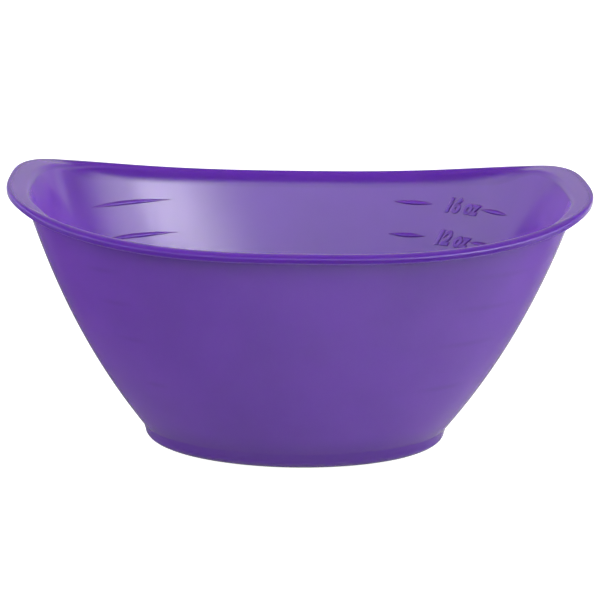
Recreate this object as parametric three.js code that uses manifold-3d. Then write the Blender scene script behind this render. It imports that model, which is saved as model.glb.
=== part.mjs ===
// Hair colour mixing bowl: one injection moulding in translucent plastic.
//
// An oval bowl stands on a short foot ring. Its wall flares and bulges gently outwards, and turns over
// at the top into a lip with a down-turned skirt. The lip dips along the two long sides, where it slopes
// inwards like a funnel, and rises at the two ends, where it is flat and makes a pair of finger rests.
// Lens-shaped ribs on the inside of the wall mark four filling levels.
//
// Millimetres, +Z up. The origin is the centre of the plane the foot stands on, and +X points at one
// of the two raised ends.
import * as THREE from 'three';
import { mergeVertices } from 'three/addons/utils/BufferGeometryUtils.js';
import Module from 'manifold-3d';

// ---- Driving dimensions -------------------------------------------------------------------------

// Foot ring
const FOOT_HEIGHT = 4.9; // up to the shoulder, where the wall starts
const FOOT_TREAD = 37; // half length of the ring's outer edge, where it touches the table
const FOOT_ROUND = 3; // height of the rounding from that edge up to the ring's upright face
const FOOT_BULGE = 5; // how far the rounding reaches outwards
const FOOT_RING = 2.2; // width of the flat ring that touches the table
const RECESS = 1.4; // the floor's underside, above the table
const RECESS_DRAFT = 0.6; // inward slope of the recess's side

// Wall: its outer face is an oval at every level
const WALL_FOOT = 42.6; // half length at the shoulder
const WALL_SPAN = 57.7; // height over which the three flare terms below apply
const WALL_FLARE = 43.6; // outward run of the straight flare
const WALL_BULGE = -18.4; // share of it taken back with the square of the height
const WALL_KICK = 4; // share given back with its cube
const WIDTH_RATIO = 0.8; // half width over half length, at the shoulder
const WIDTH_GAIN = 0.03; // growth of that ratio over the span
const SQUARENESS = 0.85; // growth of the oval's exponent over the span, from 2, a true ellipse
const WALL_THICKNESS = 1.6;

// Floor
const FLOOR = 3.2; // the floor's upper face, above the table
const FLOOR_CORNER = 4.5; // size of the rounding between floor and wall

// Lip. Where a dimension has two values, the first is for the sides and the second for the ends.
const LIP_TURN = [0.74, 0.88]; // one turns into the other where the angle's cosine is between these
const RIM_HALF_LENGTH = 79.3;
const RIM_HALF_WIDTH = 63.5;
const RIM_EXPONENT = 2.88; // of the lip's outer oval
const RIM_SIDE_HEIGHT = 65.4; // lip's crest at the middle of a long side
const END_RISE = 8.8; // how much higher it is at the ends
const RISE_POWER = 2.78; // how late the rise sets in along the length
const LIP_THICKNESS = 1.3; // at the skirt
const LIP_ROOT = [2.1, 1.3]; // crest to the corner between the lip's underside and the wall
const LIP_DIP = [1.3, 0]; // how much lower the lip's top is at the wall than at its crest
const ROLL_WIDTH = [2.6, 0.8]; // the outer edge is rolled over, from this far in
const ROLL_HEIGHT = [1.2, 0.8]; // to this far down
const SKIRT_HEIGHT = [2.2, 1.8]; // crest to the skirt's lower edge
const SKIRT_THICKNESS = 1.2;
const SKIRT_ROUND = 0.35; // rounding of the skirt's lower outer edge
const MOUTH_WIDTH = [2.3, 1.2]; // the rounding between wall and lip reaches this far onto the lip
const MOUTH_DEPTH = [4, 1.6]; // and this far down the wall

// Filling marks: levels of 16, 12, 8 and 4 US fluid ounces (473, 355, 237 and 118 ml)
const MARK_LEVELS = [57.7, 48.5, 37.8, 24.2];
const RIB_HEIGHT = 0.5; // proud of the wall, at the middle of a rib
const RIB_WIDTH = 1.3;
const RIB_SEAT = 0.5; // how deep a rib is rooted in the wall
// Angles of each rib's two ends round the oval, in degrees from +X
const LONG_RIBS = [
  [119, 143],
  [299, 323],
];
// Two short ribs with a gap between them for the level's figure
const SHORT_RIBS = [
  [34, 44],
  [56, 66],
  [223, 235],
];

// Mesh fineness
const SIDES = 88;
const WALL_STEPS = 10;
const ROUND_STEPS = 3;
const RIB_STEPS = 8;

// ---- Shape of the surfaces ----------------------------------------------------------------------

const radians = THREE.MathUtils.degToRad;

// Point of a superellipse, at an angle measured after both half axes are scaled to one.
function oval(halfLength, halfWidth, exponent, angle) {
  const c = Math.cos(angle);
  const s = Math.sin(angle);
  const reach = (Math.abs(c) ** exponent + Math.abs(s) ** exponent) ** (-1 / exponent);
  return [halfLength * reach * c, halfWidth * reach * s];
}

function wallHalfLength(height) {
  const t = (height - FOOT_HEIGHT) / WALL_SPAN;
  return WALL_FOOT + WALL_FLARE * t + WALL_BULGE * t ** 2 + WALL_KICK * t ** 3;
}

// Point of the wall at a height: inset 0 is the outer face, inset WALL_THICKNESS the inner face.
function wallPoint(angle, height, inset) {
  const halfLength = wallHalfLength(height);
  const grown = Math.max(0, (height - FOOT_HEIGHT) / WALL_SPAN);
  const halfWidth = halfLength * (WIDTH_RATIO + WIDTH_GAIN * grown);
  const [x, y] = oval(halfLength - inset, halfWidth - inset, 2 + SQUARENESS * grown, angle);
  return new THREE.Vector3(x, y, height);
}

// Point of the foot, which is a plain ellipse at every level.
function footPoint(angle, halfLength, height) {
  const inset = WALL_FOOT - halfLength;
  const [x, y] = oval(halfLength, WALL_FOOT * WIDTH_RATIO - inset, 2, angle);
  return new THREE.Vector3(x, y, height);
}

// The lip's crest lies on a saddle: its height depends on the distance along the bowl only.
function lipHeight(x) {
  return RIM_SIDE_HEIGHT + END_RISE * Math.abs(x / RIM_HALF_LENGTH) ** RISE_POWER;
}

// Point of the lip, inset from its outer edge and dropped from the saddle.
function lipPoint(angle, inset, drop) {
  const [x, y] = oval(RIM_HALF_LENGTH - inset, RIM_HALF_WIDTH - inset, RIM_EXPONENT, angle);
  return new THREE.Vector3(x, y, lipHeight(x) - drop);
}

// A dimension of the lip that differs between the sides and the ends, at an angle round the oval.
function blend([atSides, atEnds], angle) {
  const share = THREE.MathUtils.smoothstep(Math.abs(Math.cos(angle)), ...LIP_TURN);
  return THREE.MathUtils.lerp(atSides, atEnds, share);
}

// Height at which the wall reaches the lip's saddle, less a drop. Each pass closes in on it.
function wallTop(angle, inset, drop) {
  let height = RIM_SIDE_HEIGHT - drop;
  for (let pass = 0; pass < 8; pass++) {
    height = lipHeight(wallPoint(angle, height, inset).x) - drop;
  }
  return height;
}

// Points of a curve that leaves one point towards a corner and arrives at another, ends included.
function rounded(from, corner, to, steps) {
  return new THREE.QuadraticBezierCurve3(from, corner, to).getPoints(steps);
}

// ---- The bowl's section at one angle, from the middle of the underside to the middle of the floor --

function undersidePart(angle) {
  const treadInside = FOOT_TREAD - FOOT_RING;
  const tread = [footPoint(angle, treadInside, 0), footPoint(angle, FOOT_TREAD, 0)];
  const rounding = [];
  for (let step = 1; step <= ROUND_STEPS; step++) {
    const turn = (step / ROUND_STEPS) * (Math.PI / 2);
    const reach = FOOT_TREAD + FOOT_BULGE * Math.sin(turn);
    rounding.push(footPoint(angle, reach, FOOT_ROUND * (1 - Math.cos(turn))));
  }
  return [
    footPoint(angle, treadInside / 2, RECESS),
    footPoint(angle, treadInside - RECESS_DRAFT, RECESS),
    ...tread,
    ...rounding,
  ];
}

function outerWallPart(angle) {
  const top = wallTop(angle, 0, blend(LIP_ROOT, angle));
  const points = [];
  for (let step = 0; step <= WALL_STEPS; step++) {
    const height = THREE.MathUtils.lerp(FOOT_HEIGHT, top, step / WALL_STEPS);
    points.push(wallPoint(angle, height, 0));
  }
  return points;
}

function lipPart(angle) {
  const skirtHeight = blend(SKIRT_HEIGHT, angle);
  const skirtEdge = rounded(
    lipPoint(angle, SKIRT_ROUND, skirtHeight),
    lipPoint(angle, 0, skirtHeight),
    lipPoint(angle, 0, skirtHeight - SKIRT_ROUND),
    ROUND_STEPS - 1,
  );
  const roll = rounded(
    lipPoint(angle, 0, blend(ROLL_HEIGHT, angle)),
    lipPoint(angle, 0, 0),
    lipPoint(angle, blend(ROLL_WIDTH, angle), 0),
    ROUND_STEPS + 1,
  );
  return [
    lipPoint(angle, SKIRT_THICKNESS, LIP_THICKNESS),
    lipPoint(angle, SKIRT_THICKNESS, skirtHeight),
    ...skirtEdge,
    ...roll,
  ];
}

function innerWallPart(angle) {
  const mouth = wallPoint(angle, wallTop(angle, WALL_THICKNESS, blend(LIP_DIP, angle)), WALL_THICKNESS);
  const crest = lipPoint(angle, blend(ROLL_WIDTH, angle), 0);
  const onLip = mouth.clone().lerp(crest, blend(MOUTH_WIDTH, angle) / mouth.distanceTo(crest));
  const top = mouth.z - blend(MOUTH_DEPTH, angle);
  const mouthRound = rounded(onLip, mouth, wallPoint(angle, top, WALL_THICKNESS), ROUND_STEPS + 2);

  const bottom = FLOOR + FLOOR_CORNER;
  const wall = [];
  for (let step = 1; step < WALL_STEPS; step++) {
    const height = THREE.MathUtils.lerp(top, bottom, step / WALL_STEPS);
    wall.push(wallPoint(angle, height, WALL_THICKNESS));
  }

  const corner = wallPoint(angle, FLOOR, WALL_THICKNESS);
  const onFloor = wallPoint(angle, FLOOR, WALL_THICKNESS + FLOOR_CORNER);
  const cornerRound = rounded(wallPoint(angle, bottom, WALL_THICKNESS), corner, onFloor, ROUND_STEPS + 1);
  const halfWay = onFloor.clone().multiply(new THREE.Vector3(0.5, 0.5, 1));
  return [...mouthRound, ...wall, ...cornerRound, halfWay];
}

function sectionAt(angle) {
  return [
    ...undersidePart(angle),
    ...outerWallPart(angle),
    ...lipPart(angle),
    ...innerWallPart(angle),
  ];
}

// ---- Closed meshes ------------------------------------------------------------------------------

// Closed surface through rings of points, with a single point at each end. Every ring runs the same way.
function closedThrough(firstPoint, rings, lastPoint) {
  const count = rings[0].length;
  const points = [firstPoint, ...rings.flat(), lastPoint];
  const last = points.length - 1;
  const index = [];
  for (let i = 0; i < count; i++) {
    const next = (i + 1) % count;
    index.push(0, 1 + next, 1 + i);
    for (let ring = 0; ring + 1 < rings.length; ring++) {
      const low = 1 + ring * count;
      const high = low + count;
      index.push(low + i, low + next, high + next);
      index.push(low + i, high + next, high + i);
    }
    const top = last - count;
    index.push(last, top + i, top + next);
  }
  return new THREE.BufferGeometry().setFromPoints(points).setIndex(index);
}

function bowlGeometry() {
  const sections = [];
  for (let side = 0; side < SIDES; side++) {
    sections.push(sectionAt((side / SIDES) * 2 * Math.PI));
  }
  const rings = sections[0].map((_, row) => sections.map((section) => section[row]));
  const underside = new THREE.Vector3(0, 0, RECESS);
  const floor = new THREE.Vector3(0, 0, FLOOR);
  return closedThrough(underside, rings, floor);
}

// A rib is widest and highest at its middle, and runs out to nothing at both ends.
function ribGeometry(level, fromDegrees, toDegrees) {
  const spanAt = (share) => radians(THREE.MathUtils.lerp(fromDegrees, toDegrees, share));
  const rooted = WALL_THICKNESS - RIB_SEAT;
  const sections = [];
  for (let step = 1; step < RIB_STEPS; step++) {
    const share = step / RIB_STEPS;
    const angle = spanAt(share);
    const swell = Math.sin(Math.PI * share);
    const halfWidth = (RIB_WIDTH / 2) * swell;
    const crest = rooted + (RIB_SEAT + RIB_HEIGHT) * swell;
    sections.push([
      wallPoint(angle, level - halfWidth, rooted),
      wallPoint(angle, level, crest),
      wallPoint(angle, level + halfWidth, rooted),
    ]);
  }
  return closedThrough(wallPoint(spanAt(0), level, rooted), sections, wallPoint(spanAt(1), level, rooted));
}

// ---- Joining ------------------------------------------------------------------------------------

const wasm = await Module();
wasm.setup();

function toSolid(geometry) {
  const bare = geometry.clone();
  bare.deleteAttribute('normal');
  bare.deleteAttribute('uv');
  const merged = mergeVertices(bare, 1e-4);
  return new wasm.Manifold(
    new wasm.Mesh({
      numProp: 3,
      vertProperties: merged.attributes.position.array,
      triVerts: new Uint32Array(merged.index.array),
    }),
  );
}

function toGeometry(solid) {
  const mesh = solid.getMesh();
  const geometry = new THREE.BufferGeometry();
  geometry.setAttribute('position', new THREE.BufferAttribute(mesh.vertProperties, 3));
  geometry.setIndex(new THREE.BufferAttribute(mesh.triVerts, 1));
  geometry.computeVertexNormals();
  return geometry;
}

function markedBowl() {
  let solid = toSolid(bowlGeometry());
  for (const level of MARK_LEVELS) {
    for (const [from, to] of [...LONG_RIBS, ...SHORT_RIBS]) {
      solid = solid.add(toSolid(ribGeometry(level, from, to)));
    }
  }
  return toGeometry(solid);
}

// ---- The scene graph ----------------------------------------------------------------------------

const purplePlastic = new THREE.MeshStandardMaterial({
  color: 0x65439a,
  roughness: 0.35,
  metalness: 0,
});

const bowl = new THREE.Mesh(markedBowl(), purplePlastic);
bowl.name = 'bowl';

const hairColorBowl = new THREE.Group();
hairColorBowl.add(bowl);

export default hairColorBowl;
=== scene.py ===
"""Looks of the hair color bowl: a fine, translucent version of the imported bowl, on a pale floor.

The bowl is one moulding. Its surfaces follow the same ovals as the CAD part, in millimetres, and are
brought to the frame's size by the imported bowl's own box. Metres, +Z up, +X towards a raised end.
"""

import math

import bmesh
import bpy
import numpy as np
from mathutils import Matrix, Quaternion, Vector


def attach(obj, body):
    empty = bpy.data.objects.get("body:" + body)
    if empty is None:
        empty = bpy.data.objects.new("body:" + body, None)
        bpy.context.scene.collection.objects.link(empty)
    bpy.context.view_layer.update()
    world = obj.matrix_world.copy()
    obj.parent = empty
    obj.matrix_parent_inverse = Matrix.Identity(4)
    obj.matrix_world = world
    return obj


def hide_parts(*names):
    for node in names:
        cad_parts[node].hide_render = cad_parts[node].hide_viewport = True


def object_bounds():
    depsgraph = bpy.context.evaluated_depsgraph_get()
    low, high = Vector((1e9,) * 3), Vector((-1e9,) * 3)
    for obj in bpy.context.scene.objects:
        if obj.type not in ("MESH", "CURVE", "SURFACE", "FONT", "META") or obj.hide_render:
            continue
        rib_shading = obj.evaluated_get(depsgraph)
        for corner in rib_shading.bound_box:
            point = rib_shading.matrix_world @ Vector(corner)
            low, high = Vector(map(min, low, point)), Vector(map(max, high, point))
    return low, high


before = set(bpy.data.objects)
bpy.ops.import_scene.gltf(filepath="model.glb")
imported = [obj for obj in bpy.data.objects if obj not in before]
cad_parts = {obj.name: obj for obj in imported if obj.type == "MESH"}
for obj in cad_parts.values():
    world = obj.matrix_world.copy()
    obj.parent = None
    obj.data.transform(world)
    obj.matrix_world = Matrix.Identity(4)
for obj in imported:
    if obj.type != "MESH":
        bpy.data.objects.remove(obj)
cad_low, cad_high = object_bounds()

# ---- Dimensions of the bowl, in millimetres -----------------------------------------------------

FOOT_HEIGHT = 4.9
FOOT_TREAD = 37.0
FOOT_ROUND = 3.0
FOOT_BULGE = 5.0
FOOT_RING = 2.2
FOOT_RING_ROUND = ((0.1, 0.25), 0.3)  # of its inner edge: start inward and upward, and end outward
RECESS = 1.4
RECESS_DRAFT = 0.6
RECESS_ROUND = 0.5

WALL_FOOT = 42.6
WALL_SPAN = 57.7
WALL_FLARE = 43.6
WALL_BULGE = -18.4
WALL_KICK = 4.0
WIDTH_RATIO = 0.8
WIDTH_GAIN = 0.03
SQUARENESS = 0.85
WALL_THICKNESS = 1.6
SHOULDER_ROUND = 0.3  # of the crease between wall and foot

FLOOR = 3.2
FLOOR_CORNER = 4.5

RIM_HALF_LENGTH = 79.3
RIM_HALF_WIDTH = 63.5
RIM_EXPONENT = 2.88
RIM_SIDE_HEIGHT = 65.4
END_RISE = 8.8
RISE_POWER = 2.78
LIP_THICKNESS = 1.3
SKIRT_THICKNESS = 1.2
SKIRT_ROUND = 0.35  # of its outer edge
SKIRT_INNER_ROUND = 0.2
# Of the lip along the sides, and at the ends
LIP_TURN = (0.74, 0.88)  # cosines of the angles between which one turns into the other
ROLL_WIDTH = (2.6, 0.8)
ROLL_HEIGHT = (1.2, 0.8)
LIP_ROOT = (2.1, 1.3)
LIP_DIP = (1.3, 0.0)
SKIRT_HEIGHT = (2.2, 1.8)
MOUTH_WIDTH = (2.3, 1.2)
MOUTH_DEPTH = (4.0, 1.6)

# Filling marks: the level above the table, and the figure beside it, in US fluid ounces
MARKS = ((57.7, "16 oz"), (48.5, "12 oz"), (37.8, "8 oz"), (24.2, "4 oz"))
RIB_HEIGHT = 0.45
RIB_WIDTH = 1.3
RIB_SEAT = 0.3  # how deep a rib is rooted in the wall
RIB_SINK = 0.02  # how deep the edges of its back lie in the wall
LONG_RIBS = ((119, 143), (299, 323))
SHORT_RIBS = ((34, 44), (56, 66), (223, 235))
FIGURE_ANGLES = (49, 245)
FIGURE_SIZE = 6.0
FIGURE_NARROWING = 0.82
FIGURE_SLANT = 0.3
FIGURE_HEIGHT = 0.4
FIGURE_ROUND = 0.32  # rounding of a stroke's edges
FIGURE_WEIGHT = 0.06  # thickening of the strokes

# Mesh fineness
SIDES = 480
WALL_STEPS = 48
ROUND_STEPS = 8
LARGE_ROUND_STEPS = 12
SMALL_ROUND_STEPS = 4
SHOULDER_STEPS = 5
RECESS_STEPS = 5
FLOOR_STEPS = 6
MOUTH_RINGS = 14  # rings inside the lip's crest that still belong to the lip
RIB_STEPS = 40
RIB_POINTS = 13

MM = (cad_high.x - cad_low.x) / (2 * RIM_HALF_LENGTH)  # metres for each millimetre of the shape


# ---- Shape of the surfaces ----------------------------------------------------------------------

def oval(half_length, half_width, exponent, angle):
    """x and y of a superellipse, at an angle measured after both half axes are scaled to one."""
    c, s = np.cos(angle), np.sin(angle)
    reach = (np.abs(c) ** exponent + np.abs(s) ** exponent) ** (-1 / exponent)
    return half_length * reach * c, half_width * reach * s


def points(x, y, z):
    return np.stack(np.broadcast_arrays(x, y, z), axis=-1).astype(float)


def wall_half_length(height):
    t = (height - FOOT_HEIGHT) / WALL_SPAN
    return WALL_FOOT + WALL_FLARE * t + WALL_BULGE * t**2 + WALL_KICK * t**3


def wall_points(angle, height, inset):
    """Points of the wall: inset 0 is its outer face, and WALL_THICKNESS its inner face."""
    half_length = wall_half_length(height)
    grown = np.maximum(0, (height - FOOT_HEIGHT) / WALL_SPAN)
    half_width = half_length * (WIDTH_RATIO + WIDTH_GAIN * grown)
    x, y = oval(half_length - inset, half_width - inset, 2 + SQUARENESS * grown, angle)
    return points(x, y, height)


def foot_points(angle, half_length, height):
    half_width = WALL_FOOT * WIDTH_RATIO - (WALL_FOOT - half_length)
    x, y = oval(half_length, half_width, 2, angle)
    return points(x, y, height)


def lip_height(x):
    """The lip's top face is a saddle: its height depends on the distance along the bowl only."""
    return RIM_SIDE_HEIGHT + END_RISE * np.abs(x / RIM_HALF_LENGTH) ** RISE_POWER


def lip_points(angle, inset, drop):
    x, y = oval(RIM_HALF_LENGTH - inset, RIM_HALF_WIDTH - inset, RIM_EXPONENT, angle)
    return points(x, y, lip_height(x) - drop)


def blend(sides_and_ends, angle):
    """A dimension of the lip that differs between the sides and the ends."""
    at_sides, at_ends = sides_and_ends
    turn, turned = LIP_TURN
    share = np.clip((np.abs(np.cos(angle)) - turn) / (turned - turn), 0, 1)
    return at_sides + (at_ends - at_sides) * share**2 * (3 - 2 * share)


def wall_top(angle, inset, drop):
    """Height at which the wall reaches the lip's saddle, less a drop."""
    height = RIM_SIDE_HEIGHT - drop
    for _ in range(10):
        height = lip_height(wall_points(angle, height, inset)[..., 0]) - drop
    return height


def rounded(start, corner, end, steps):
    """Rings along a curve that leaves start towards the corner and arrives at end, ends included."""
    rings = []
    for t in np.linspace(0, 1, steps + 1):
        rings.append((1 - t) ** 2 * start + 2 * t * (1 - t) * corner + t**2 * end)
    return rings


def between(start, end, steps):
    """Rings at even distances between two rings, both left out."""
    return [start + (end - start) * t for t in np.linspace(0, 1, steps + 1)[1:-1]]


# ---- Rings of the bowl, from the middle of the underside, round the lip, to the middle of the floor

def underside_rings(angle):
    inner = FOOT_TREAD - FOOT_RING
    recess_edge = foot_points(angle, inner - RECESS_DRAFT, RECESS)
    tread_edge = foot_points(angle, inner, 0)
    middle = (recess_edge + tread_edge) / 2
    ceiling = foot_points(angle, inner - RECESS_DRAFT - RECESS_ROUND, RECESS)
    rings = between(ceiling * (0, 0, 1), ceiling, RECESS_STEPS)
    rings += rounded(ceiling, recess_edge, middle, SMALL_ROUND_STEPS)
    (inward, upward), outward = FOOT_RING_ROUND
    rings += rounded(
        foot_points(angle, inner - inward, upward),
        tread_edge,
        foot_points(angle, inner + outward, 0),
        SMALL_ROUND_STEPS,
    )
    for turn in np.linspace(0, math.pi / 2, ROUND_STEPS + 1):
        reach = FOOT_TREAD + FOOT_BULGE * math.sin(turn)
        rings.append(foot_points(angle, reach, FOOT_ROUND * (1 - math.cos(turn))))
    return rings


def outer_wall_rings(angle):
    top = wall_top(angle, 0, blend(LIP_ROOT, angle))
    shoulder = wall_points(angle, np.full_like(angle, FOOT_HEIGHT), 0)
    start = FOOT_HEIGHT + SHOULDER_ROUND
    above = wall_points(angle, np.full_like(angle, start), 0)
    round_top = foot_points(angle, FOOT_TREAD + FOOT_BULGE, FOOT_ROUND)
    below = shoulder + (round_top - shoulder) * SHOULDER_ROUND / (FOOT_HEIGHT - FOOT_ROUND)
    rings = between(round_top, below, SMALL_ROUND_STEPS) + rounded(below, shoulder, above, SHOULDER_STEPS)
    for share in np.linspace(0, 1, WALL_STEPS)[1:]:
        height = start + (top - start) * share
        rings.append(wall_points(angle, height, 0))
    return rings


def lip_rings(angle):
    skirt = blend(SKIRT_HEIGHT, angle)
    rings = [lip_points(angle, SKIRT_THICKNESS, LIP_THICKNESS)]
    rings += rounded(
        lip_points(angle, SKIRT_THICKNESS, skirt - SKIRT_INNER_ROUND),
        lip_points(angle, SKIRT_THICKNESS, skirt),
        lip_points(angle, SKIRT_THICKNESS - SKIRT_INNER_ROUND, skirt),
        SMALL_ROUND_STEPS,
    )
    rings += rounded(
        lip_points(angle, SKIRT_ROUND, skirt),
        lip_points(angle, 0, skirt),
        lip_points(angle, 0, skirt - SKIRT_ROUND),
        ROUND_STEPS,
    )
    rings += rounded(
        lip_points(angle, 0, blend(ROLL_HEIGHT, angle)),
        lip_points(angle, 0, 0),
        lip_points(angle, blend(ROLL_WIDTH, angle), 0),
        LARGE_ROUND_STEPS,
    )
    return rings


def inner_wall_rings(angle):
    mouth = wall_points(angle, wall_top(angle, WALL_THICKNESS, blend(LIP_DIP, angle)), WALL_THICKNESS)
    crest = lip_points(angle, blend(ROLL_WIDTH, angle), 0)
    share = blend(MOUTH_WIDTH, angle) / np.linalg.norm(crest - mouth, axis=-1)
    on_lip = mouth + (crest - mouth) * share[..., None]
    top = mouth[..., 2] - blend(MOUTH_DEPTH, angle)
    rings = between(crest, on_lip, SMALL_ROUND_STEPS)
    rings += rounded(on_lip, mouth, wall_points(angle, top, WALL_THICKNESS), LARGE_ROUND_STEPS)

    bottom = FLOOR + FLOOR_CORNER
    for part in np.linspace(0, 1, WALL_STEPS + 1)[1:-1]:
        rings.append(wall_points(angle, top + (bottom - top) * part, WALL_THICKNESS))

    def at(height, inset):
        return wall_points(angle, np.full_like(angle, height), WALL_THICKNESS + inset)

    rings += rounded(at(bottom, 0), at(FLOOR, 0), at(FLOOR, FLOOR_CORNER), ROUND_STEPS)
    middle = at(FLOOR, FLOOR_CORNER) * np.array((0, 0, 1))
    return rings + between(at(FLOOR, FLOOR_CORNER), middle, FLOOR_STEPS)


# ---- Meshes -------------------------------------------------------------------------------------

def closed_through(first, rings, last):
    """Vertices and faces of a closed surface through rings, with one point at each end."""
    count = len(rings[0])
    vertices = np.concatenate([[first], *rings, [last]])
    faces = []
    end = len(vertices) - 1
    for i in range(count):
        following = (i + 1) % count
        faces.append((0, 1 + following, 1 + i))
        for ring in range(len(rings) - 1):
            low = 1 + ring * count
            high = low + count
            faces.append((low + i, low + following, high + following, high + i))
        faces.append((end, end - count + i, end - count + following))
    return vertices, faces


def mesh_object(name, solids, smooth=True):
    """One object from closed solids, each its vertices in millimetres and its faces."""
    vertices, faces = [], []
    for solid_vertices, solid_faces in solids:
        offset = len(vertices)
        vertices.extend((solid_vertices * MM).tolist())
        faces.extend(tuple(v + offset for v in face) for face in solid_faces)
    mesh = bpy.data.meshes.new(name)
    mesh.from_pydata(vertices, [], faces)
    mesh.polygons.foreach_set("use_smooth", [smooth] * len(mesh.polygons))
    mesh.update()
    made = bpy.data.objects.new(name, mesh)
    bpy.context.scene.collection.objects.link(made)
    return made


def make_shell():
    """The bowl's surface. Attributes mark the lip, its outer edge and the wall's outer face, where the
    material paints shade and roughens the edge.
    """
    angle = np.linspace(0, 2 * math.pi, SIDES, endpoint=False)
    underside, wall, lip = underside_rings(angle), outer_wall_rings(angle), lip_rings(angle)
    rings = underside + wall + lip + inner_wall_rings(angle)
    shell = mesh_object("bowl_shell", [closed_through((0, 0, RECESS), rings, (0, 0, FLOOR))])
    ring_of_vertex = (np.arange(len(shell.data.vertices)) - 1) // SIDES
    wall_start = len(underside)
    lip_start = wall_start + len(wall)
    lip_end = lip_start + len(lip)
    parts = {
        "outside": (wall_start, lip_start), "edge": (lip_start, lip_end),
        "lip": (lip_start, lip_end + MOUTH_RINGS),
    }
    for name, (start, stop) in parts.items():
        marked = (ring_of_vertex >= start) & (ring_of_vertex < stop)
        attribute = shell.data.attributes.new(name, "FLOAT", "POINT")
        attribute.data.foreach_set("value", marked.astype(float))
    return shell


def rib(level, from_degrees, to_degrees):
    """A lens-shaped rib with a rounded back, which runs out to nothing at both ends."""
    across = np.linspace(-1, 1, RIB_POINTS)
    profile = 1 - across**2
    rings = []
    for share in np.linspace(0, 1, RIB_STEPS + 1)[1:-1]:
        angle = np.full(len(across) + 2, math.radians(from_degrees + (to_degrees - from_degrees) * share))
        swell = math.sin(math.pi * share)
        height = level + RIB_WIDTH / 2 * swell * np.concatenate((across, (1, -1)))
        proud = RIB_HEIGHT * swell * np.concatenate((profile, (0, 0)))
        seat = np.concatenate((np.full(len(across), -RIB_SINK), (-RIB_SEAT, -RIB_SEAT)))
        rings.append(wall_points(angle, height, WALL_THICKNESS + seat + proud))
    ends = [
        wall_points(np.radians(float(degrees)), np.float64(level), WALL_THICKNESS - RIB_SEAT / 2)
        for degrees in (from_degrees, to_degrees)
    ]
    return closed_through(ends[0], rings, ends[1])


def make_ribs():
    solids = []
    for level, _ in MARKS:
        for start, stop in LONG_RIBS + SHORT_RIBS:
            solids.append(rib(level, start, stop))
    return mesh_object("level_ribs", solids)


def figure_solid(text, level, middle_degrees):
    """Raised lettering laid on the wall's inner face, read from inside the bowl."""
    curve = bpy.data.curves.new("figure", "FONT")
    curve.body = text
    curve.size = FIGURE_SIZE
    curve.shear = FIGURE_SLANT
    curve.align_x = "CENTER"
    curve.align_y = "CENTER"
    curve.extrude = FIGURE_HEIGHT - FIGURE_ROUND
    curve.bevel_depth = FIGURE_ROUND
    curve.bevel_resolution = 3
    curve.offset = FIGURE_WEIGHT
    made = bpy.data.objects.new("figure", curve)
    bpy.context.scene.collection.objects.link(made)
    bpy.context.view_layer.update()
    welded = bmesh.new()
    welded.from_mesh(made.to_mesh())
    bmesh.ops.remove_doubles(welded, verts=welded.verts, dist=0.001)
    flat = np.array([v.co for v in welded.verts])
    faces = [tuple(v.index for v in face.verts) for face in welded.faces]
    welded.free()
    made.to_mesh_clear()
    bpy.data.objects.remove(made)

    middle = math.radians(middle_degrees)
    step = 0.01
    here, there = wall_points(
        np.array((middle, middle + step)), np.array((level, level), float), WALL_THICKNESS
    )
    arc_per_radian = np.linalg.norm(there - here) / step
    higher = wall_points(np.float64(middle), np.float64(level + 1), WALL_THICKNESS)
    slope = np.linalg.norm(higher - here)
    angle = middle - flat[:, 0] * FIGURE_NARROWING / arc_per_radian
    height = level + flat[:, 1] / slope
    return wall_points(angle, height, WALL_THICKNESS + flat[:, 2]), faces


def make_figures():
    solids = []
    for level, text in MARKS:
        for degrees in FIGURE_ANGLES:
            solids.append(figure_solid(text, level, degrees))
    return mesh_object("level_figures", solids, smooth=False)


# ---- Materials ----------------------------------------------------------------------------------

PIGMENT_THIN = (0.071, 0.0145, 0.218, 1)
PIGMENT_DENSE = (0.083, 0.0175, 0.25, 1)
PIGMENT_PAINTED_SHADE = (0.057, 0.0118, 0.18, 1)  # painted shade: darker pigment for the foot, the lip and the outer wall behind the ribs
FOOT_SHADE_RISE = (0.003, 0.011)  # heights over which the painted shade, full at the foot, fades out upwards
LIP_SHADE_SHARE = 0.45  # share of the painted shade in the lip, twice over at its outer edge
RIB_SHADE_SHARE = 0.4  # share of the painted shade where a rib lies behind the wall's outer face
SCATTER_MM = (1.6, 0.7, 3.2)  # mean path of red, green and blue light inside the plastic
PLASTIC_IOR = 1.49
POLISHED = (0.15, 0.20)  # roughness of the mould's face where it is smooth and where it is coarse
POLISHED_DEPTH = 0.000006  # depth of the polishing lines
ETCHED = (0.4, 0.5)
ETCHED_DEPTH = 0.000004
EDGE_ROUGHNESS = 0.34
WORN_ROUGHNESS = 0.02

# Scales of the noises
CLOUD_SCALE = 28.0
LINE_SCALE = 42.0
LINE_STRETCH = 1.5
GRAIN_SCALE = 2600.0
WORN_SCALE = 70.0


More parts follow.
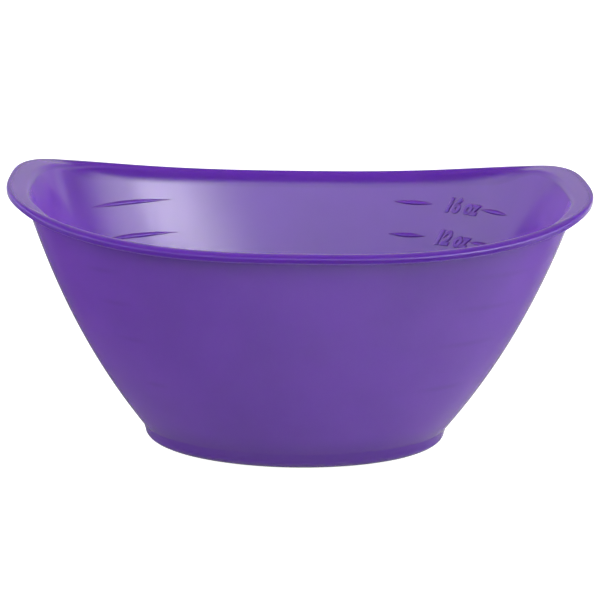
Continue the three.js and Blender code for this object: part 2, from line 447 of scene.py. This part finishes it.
class Nodes:
    """A material's or a world's node tree, built node by node."""

    def __init__(self, owner):
        owner.use_nodes = True
        self.tree = owner.node_tree
        self.tree.nodes.clear()

    def add(self, kind, settings=None, **values):
        """A node with its settings, and its inputs given as values or as other nodes' outputs."""
        node = self.tree.nodes.new(kind)
        for name, value in (settings or {}).items():
            setattr(node, name, value)
        for name, value in values.items():
            socket = node.inputs[int(name[1:])] if name[0] == "_" else node.inputs[name.replace("_", " ")]
            if isinstance(value, bpy.types.NodeSocket):
                self.tree.links.new(value, socket)
            else:
                socket.default_value = value
        return node

    def math(self, operation, *values):
        sockets = {f"_{i}": value for i, value in enumerate(values)}
        return self.add("ShaderNodeMath", {"operation": operation}, **sockets).outputs[0]

    def ramp(self, value, low, high, to_low=0.0, to_high=1.0):
        return self.add(
            "ShaderNodeMapRange", {"interpolation_type": "SMOOTHSTEP"},
            Value=value, From_Min=low, From_Max=high, To_Min=to_low, To_Max=to_high,
        ).outputs["Result"]

    def blend(self, share, first, second):
        """Mix of two numbers."""
        return self.add("ShaderNodeMix", {"data_type": "FLOAT"}, _0=share, _2=first, _3=second).outputs[0]

    def blend_color(self, share, first, second):
        mix = self.add("ShaderNodeMix", {"data_type": "RGBA"}, _0=share, _6=first, _7=second)
        return mix.outputs[2]

    def attribute(self, name):
        """A number stored at the mesh's points, and 0 on a mesh without it."""
        return self.add("ShaderNodeAttribute", {"attribute_name": name}).outputs["Fac"]

    def noise(self, vector, scale, detail=2.0, roughness=0.5):
        return self.add(
            "ShaderNodeTexNoise", Vector=vector, Scale=scale, Detail=detail, Roughness=roughness
        ).outputs["Fac"]


def rib_shade_mask(nodes, around, z):
    """How far a rib on the inner face adds to the wall at a place on its outer face, from 0 to 1: the
    mask of a rib's painted shade.
    """
    along = 0.0
    for start, stop in LONG_RIBS + SHORT_RIBS:
        middle = math.remainder(math.radians((start + stop) / 2), 2 * math.pi)
        away = nodes.math("ABSOLUTE", nodes.math("SUBTRACT", around, middle))
        along = nodes.math("MAXIMUM", along, nodes.ramp(away, math.radians(stop - start) / 2, 0))
    level_with = 0.0
    for level, _ in MARKS:
        away = nodes.math("ABSOLUTE", nodes.math("SUBTRACT", z, level * MM))
        level_with = nodes.math("MAXIMUM", level_with, nodes.ramp(away, RIB_WIDTH * MM, 0))
    return nodes.math("MULTIPLY", along, level_with)


def purple_plastic(name, roughnesses, line_depth):
    """Translucent polypropylene: pigment that clouds a little, a soft moulded gloss, and the fine upright
    lines that polishing left in the mould. The pigment is darkened as painted shade in the lip, at the
    foot and on the outer wall behind the ribs."""
    material = bpy.data.materials.new(name)
    nodes = Nodes(material)
    place = nodes.add("ShaderNodeTexCoord").outputs["Object"]
    x, y, z = nodes.add("ShaderNodeSeparateXYZ", Vector=place).outputs

    cloud = nodes.ramp(nodes.noise(place, CLOUD_SCALE, 3.0), 0.3, 0.7)
    pigment = nodes.blend_color(cloud, PIGMENT_THIN, PIGMENT_DENSE)
    lip, edge, outside = (nodes.attribute(part) for part in ("lip", "edge", "outside"))
    # Painted shade: darker pigment in the lip and its edge, at the foot, and where a rib lies behind the
    # outer wall.
    painted_shade = nodes.math("MULTIPLY", nodes.math("ADD", lip, edge), LIP_SHADE_SHARE)
    painted_shade = nodes.math("MAXIMUM", nodes.ramp(z, *FOOT_SHADE_RISE, 1.0, 0.0), painted_shade)
    around = nodes.math("ARCTAN2", nodes.math("DIVIDE", y, WIDTH_RATIO), x)
    rib_shading = nodes.math("MULTIPLY", outside, rib_shade_mask(nodes, around, z))
    painted_shade = nodes.math("MAXIMUM", painted_shade, nodes.math("MULTIPLY", rib_shading, RIB_SHADE_SHARE))
    pigment = nodes.blend_color(painted_shade, pigment, PIGMENT_PAINTED_SHADE)

    upright = nodes.add(
        "ShaderNodeCombineXYZ",
        X=nodes.math("SINE", around),
        Y=nodes.math("COSINE", around),
        Z=nodes.math("MULTIPLY", z, LINE_STRETCH),
    ).outputs[0]
    lines = nodes.noise(upright, LINE_SCALE, 4.0, 0.7)
    grain = nodes.noise(place, GRAIN_SCALE)
    worn = nodes.ramp(nodes.noise(place, WORN_SCALE, 4.0, 0.6), 0.35, 0.75)

    roughness = nodes.ramp(lines, 0.3, 0.7, *roughnesses)
    roughness = nodes.math("ADD", roughness, nodes.math("MULTIPLY", worn, WORN_ROUGHNESS))
    roughness = nodes.blend(edge, roughness, EDGE_ROUGHNESS)
    height = nodes.math("ADD", nodes.math("MULTIPLY", grain, 0.5), lines)
    bump = nodes.add("ShaderNodeBump", Strength=0.1, Distance=line_depth, Height=height).outputs["Normal"]

    body = nodes.add(
        "ShaderNodeBsdfPrincipled", {"subsurface_method": "RANDOM_WALK"},
        Base_Color=pigment, Specular_IOR_Level=0.0, Normal=bump,
        Subsurface_Weight=1.0, Subsurface_Radius=SCATTER_MM, Subsurface_Scale=MM,
    ).outputs["BSDF"]
    mirrored = nodes.add("ShaderNodeFresnel", IOR=PLASTIC_IOR, Normal=bump).outputs[0]
    gloss = nodes.add(
        "ShaderNodeBsdfAnisotropic", Color=(1, 1, 1, 1), Roughness=roughness, Normal=bump
    ).outputs[0]
    surface = nodes.add("ShaderNodeMixShader", _0=mirrored, _1=body, _2=gloss).outputs[0]
    nodes.add("ShaderNodeOutputMaterial", Surface=surface)
    return material


def pale_floor():
    """White paper, brighter to the lens than its light alone would make it, and in the gloss darker, as
    painted shade, to the left of and behind the bowl.
    """
    material = bpy.data.materials.new("pale_floor")
    nodes = Nodes(material)
    path = nodes.add("ShaderNodeLightPath").outputs
    paper = nodes.add("ShaderNodeBsdfDiffuse", Color=PAPER).outputs[0]
    lift = nodes.math("MULTIPLY", path["Is Camera Ray"], FLOOR_LIFT)
    lift = nodes.add("ShaderNodeEmission", Strength=lift).outputs[0]
    seen = nodes.add("ShaderNodeAddShader", _0=paper, _1=lift).outputs[0]
    place = nodes.add("ShaderNodeNewGeometry").outputs["Position"]
    x, y, _ = nodes.add("ShaderNodeSeparateXYZ", Vector=place).outputs
    # Painted shade on the floor, seen only in the gloss: darker to the left of and behind the bowl.
    to_the_left = nodes.ramp(x, *SHADE_LEFTWARD, FLOOR_RIGHT, FLOOR_SHADED)
    backward = nodes.ramp(y, *SHADE_BACKWARD, 1.0, FLOOR_SHADED)
    far_behind = nodes.ramp(y, *BRIGHT_BEHIND)
    floor_shade_in_gloss = nodes.math("MULTIPLY", to_the_left, nodes.math("MAXIMUM", backward, far_behind))
    mirrored = nodes.add("ShaderNodeBsdfDiffuse", Color=floor_shade_in_gloss).outputs[0]
    surface = nodes.add("ShaderNodeMixShader", _0=path["Is Glossy Ray"], _1=seen, _2=mirrored).outputs[0]
    nodes.add("ShaderNodeOutputMaterial", Surface=surface)
    return material


def black_card():
    material = bpy.data.materials.new("black_card")
    nodes = Nodes(material)
    surface = nodes.add("ShaderNodeBsdfDiffuse", Color=BLACK).outputs[0]
    nodes.add("ShaderNodeOutputMaterial", Surface=surface)
    return material


# ---- Stage, light and camera --------------------------------------------------------------------

PAPER = (0.46, 0.46, 0.46, 1)
BLACK = (0.01, 0.01, 0.01, 1)
FLOOR_HALF = 40.0
FLOOR_LIFT = 0.93  # light added for the lens
# How bright the gloss sees the floor: painted shade, less and less towards the left and the back, and
# fully bright far behind.
FLOOR_RIGHT = 0.88
FLOOR_SHADED = 0.35
SHADE_LEFTWARD = (0.06, -0.12)  # along X
SHADE_BACKWARD = (-0.08, 0.04)  # along Y
BRIGHT_BEHIND = (0.15, 0.25)
FLAG_DISTANCE = 0.19
FLAG_HALF_WIDTH = 0.35
FLAG_HEIGHT = 0.11
FLAG_CLEARANCE = 0.0005

# Strength of the light, 1 being white
SKY = 0.48  # even, from all round, on the bowl's body
# What the gloss mirrors
BACKDROP = 0.5  # the room behind the bowl
FRONT_LOW = 0.15  # the room on the lens's side
CEILING = 0.12
CEILING_RISE = (18, 30)  # elevations over which the room gives way to the ceiling
# Bright patches: azimuths and elevations in degrees, over which each comes up and goes, and its strength
PATCHES = (
    ((-160, -70, 20, 45), (0, 8, 34, 48), 2.9),  # a lit wall, front left
    ((20, 40, 62, 118), (0, 8, 34, 40), 6.2),  # another, front right
    ((0, 38, 46, 66), (2, 6, 34, 40), 12.4),  # a softbox before it
    ((128, 132, 136, 141), (0, 4, 60, 70), 1.15),  # a brighter strip, back right
)
LIGHT_TARGET = Vector((0, 0, 0.05))


def make_plane(name, corners, material):
    mesh = bpy.data.meshes.new(name)
    mesh.from_pydata(corners, [], [(0, 1, 2, 3)])
    plane = bpy.data.objects.new(name, mesh)
    bpy.context.scene.collection.objects.link(plane)
    plane.data.materials.append(material)
    return plane


def make_floor():
    half = FLOOR_HALF
    corners = [(-half, -half, 0), (half, -half, 0), (half, half, 0), (-half, half, 0)]
    make_plane("floor", corners, pale_floor())


def make_flag():
    """A low black card before the bowl, which only its mirrored image shows."""
    y, half, top = -FLAG_DISTANCE, FLAG_HALF_WIDTH, FLAG_HEIGHT
    bottom = FLAG_CLEARANCE
    corners = [(-half, y, bottom), (half, y, bottom), (half, y, top), (-half, y, top)]
    flag = make_plane("flag", corners, black_card())
    flag.visible_camera = False
    flag.visible_diffuse = False
    flag.visible_shadow = False
    flag.visible_transmission = False


def area_light(name, azimuth, elevation, radiance, distance=0.9, size=(0.75, 0.57), spread=180):
    """A rectangular light that faces the bowl. Azimuth runs from the camera's side towards +X."""
    a, e = math.radians(azimuth), math.radians(elevation)
    direction = Vector((math.sin(a) * math.cos(e), -math.cos(a) * math.cos(e), math.sin(e)))
    data = bpy.data.lights.new(name, "AREA")
    data.shape = "RECTANGLE"
    data.size, data.size_y = size
    data.energy = radiance * math.pi * size[0] * size[1]
    data.spread = math.radians(spread)
    light = bpy.data.objects.new(name, data)
    light.location = direction * distance + LIGHT_TARGET
    light.rotation_mode = "QUATERNION"
    light.rotation_quaternion = (-direction).to_track_quat("-Z", "Y")
    light.visible_camera = False
    light.visible_glossy = False
    bpy.context.scene.collection.objects.link(light)


def make_world():
    """Even white light for the bowl's body, and a plain studio for its gloss to mirror."""
    world = bpy.data.worlds.new("studio")
    nodes = Nodes(world)
    direction = nodes.add("ShaderNodeTexCoord").outputs["Generated"]
    x, y, z = nodes.add("ShaderNodeSeparateXYZ", Vector=direction).outputs
    azimuth = nodes.math("DEGREES", nodes.math("ARCTAN2", x, nodes.math("MULTIPLY", y, -1)))
    elevation = nodes.math("DEGREES", nodes.math("ARCSINE", z))

    def window(value, rise_from, rise_to, fall_from, fall_to):
        rise, fall = nodes.ramp(value, rise_from, rise_to), nodes.ramp(value, fall_to, fall_from)
        return nodes.math("MULTIPLY", rise, fall)

    low = nodes.ramp(y, -0.4, 0.3, FRONT_LOW, BACKDROP)
    mirrored = nodes.blend(nodes.ramp(elevation, *CEILING_RISE), low, CEILING)
    for azimuths, elevations, strength in PATCHES:
        inside = nodes.math("MULTIPLY", window(azimuth, *azimuths), window(elevation, *elevations))
        mirrored = nodes.blend(inside, mirrored, strength)
    glossy = nodes.add("ShaderNodeLightPath").outputs["Is Glossy Ray"]
    strength = nodes.blend(glossy, SKY, mirrored)
    background = nodes.add("ShaderNodeBackground", Color=(1, 1, 1, 1), Strength=strength)
    nodes.add("ShaderNodeOutputWorld", Surface=background.outputs[0])
    bpy.context.scene.world = world


CAMERA_DISTANCE = 667.2
CAMERA_AZIMUTH = math.radians(-1.635)
CAMERA_ELEVATION = math.radians(12.898)
CAMERA_ROLL = math.radians(1.052)
CAMERA_TARGET = Vector((0.78, 0.0, 39.59))
LENS = 144.0


def make_camera():
    back = Vector((
        math.sin(CAMERA_AZIMUTH) * math.cos(CAMERA_ELEVATION),
        -math.cos(CAMERA_AZIMUTH) * math.cos(CAMERA_ELEVATION),
        math.sin(CAMERA_ELEVATION),
    ))
    data = bpy.data.cameras.new("camera")
    data.lens = LENS
    camera = bpy.data.objects.new("camera", data)
    camera.location = (CAMERA_TARGET + back * CAMERA_DISTANCE) * MM
    camera.rotation_mode = "QUATERNION"
    camera.rotation_quaternion = (-back).to_track_quat("-Z", "Y") @ Quaternion((0, 0, 1), CAMERA_ROLL)
    bpy.context.scene.collection.objects.link(camera)
    bpy.context.scene.camera = camera


def make_bowl():
    polished = purple_plastic("purple_plastic", POLISHED, POLISHED_DEPTH)
    etched = purple_plastic("purple_plastic_etched", ETCHED, ETCHED_DEPTH)
    shell = make_shell()
    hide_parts("bowl")
    for piece, plastic in ((shell, polished), (make_ribs(), polished), (make_figures(), etched)):
        piece.data.materials.append(plastic)
        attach(piece, "root")


make_bowl()
make_floor()
make_flag()
make_world()
area_light("softbox", azimuth=40, elevation=24, radiance=7.6)
area_light("fill", azimuth=-66, elevation=24, radiance=6.7)
area_light("side_light", azimuth=80, elevation=20, radiance=1.7)
area_light("rim_light", azimuth=180, elevation=30, radiance=2.2)
area_light(
    "mouth_light", azimuth=0, elevation=90, radiance=2.2, distance=0.5, size=(0.09, 0.07), spread=10
)
make_camera()
bpy.context.scene.view_settings.view_transform = "Standard"
